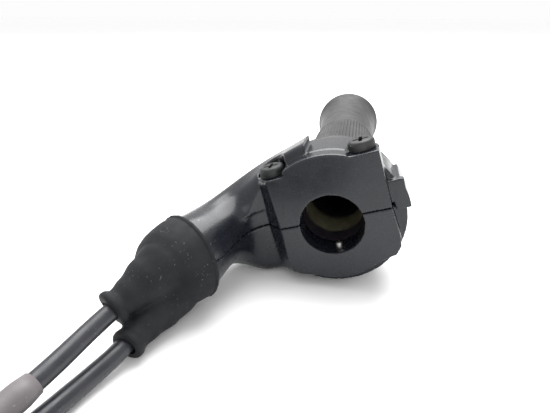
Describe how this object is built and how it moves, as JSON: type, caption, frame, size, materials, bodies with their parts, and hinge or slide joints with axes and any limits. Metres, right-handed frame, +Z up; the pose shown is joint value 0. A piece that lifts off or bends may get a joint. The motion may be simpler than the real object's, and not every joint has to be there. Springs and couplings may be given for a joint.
{
  "type": "throttle grip",
  "caption": "Motorcycle twist throttle: grip on a tube and cable drum in a split clamp case, with a curved arm, rubber boot and coiled push and pull cables.",
  "frame": {"origin": "centre of the handlebar clamp bore on the case's inboard face", "axes": "+Y along the handlebar towards the grip's closed end, +Z up as it lies on a table, with the cables leaving towards -X and then -Y"},
  "size_m": [0.181, 0.3106, 0.0562],
  "materials": {
    "case_black": "gloss black paint over a die-cast case, scuffed along the edges",
    "screw_zinc": "dull grey zinc plate",
    "pin_steel": "bright steel",
    "tube_nylon": "natural nylon, stained by grease",
    "grip_rubber": "satin moulded rubber",
    "boot_rubber": "matt rubber with dust",
    "conduit_black": "extruded vinyl",
    "sleeve_grey": "grey vinyl",
    "steel_plated": "bright zinc plate",
    "wire_steel": "stranded galvanised wire",
    "nipple_brass": "cast zinc and brass",
    "tie_black": "moulded nylon band"
  },
  "bodies": {
    "case": {"upper_case": "case_black", "lower_case": "case_black", "case_screws": "screw_zinc", "bar_pin": "pin_steel", "elbow_lock_nuts": "steel_plated", "cable_boot": "boot_rubber", "pull_sleeve": "sleeve_grey", "pull_drum_wire": "wire_steel", "pull_elbow": "steel_plated", "pull_adjuster": "steel_plated", "pull_cable": "conduit_black", "pull_coil": "conduit_black", "pull_coil_ties": "tie_black", "pull_cable_tail": "conduit_black", "pull_end_ferrule": "steel_plated", "pull_end_thread": "steel_plated", "pull_end_nuts": "steel_plated", "push_drum_wire": "wire_steel", "push_elbow": "steel_plated", "push_adjuster": "steel_plated", "push_cable": "conduit_black", "push_coil": "conduit_black", "push_coil_ties": "tie_black", "push_cable_tail": "conduit_black", "push_end_ferrule": "steel_plated", "push_end_thread": "steel_plated", "push_end_nuts": "steel_plated"},
    "throttle": {"throttle_tube": "tube_nylon", "grip_rubber": "grip_rubber", "pull_drum_nipple": "nipple_brass", "push_drum_nipple": "nipple_brass"},
    "pull_core": {"pull_end_wire": "wire_steel", "pull_end_nipple": "nipple_brass"},
    "push_core": {"push_end_wire": "wire_steel", "push_end_nipple": "nipple_brass"}
  },
  "joints": [
    {"name": "throttle_twist", "type": "hinge", "parent": "case", "child": "throttle", "pos_m": [0, 0.0148, 0], "axis": [0, 1, 0], "range_deg": [0, 75], "deforming": ["pull_drum_wire", "push_drum_wire"]},
    {"name": "pull_core_slide", "type": "slide", "parent": "case", "child": "pull_core", "axis": [0, 1, 0], "range_m": [-0.023, 0]},
    {"name": "push_core_slide", "type": "slide", "parent": "case", "child": "push_core", "axis": [1, 0, 0], "range_m": [0, 0.023]}
  ],
  "couplings": [
    {"joint": "pull_core_slide", "follows": "throttle_twist", "m_per_rad": -0.01755},
    {"joint": "push_core_slide", "follows": "throttle_twist", "m_per_rad": 0.01755}
  ]
}
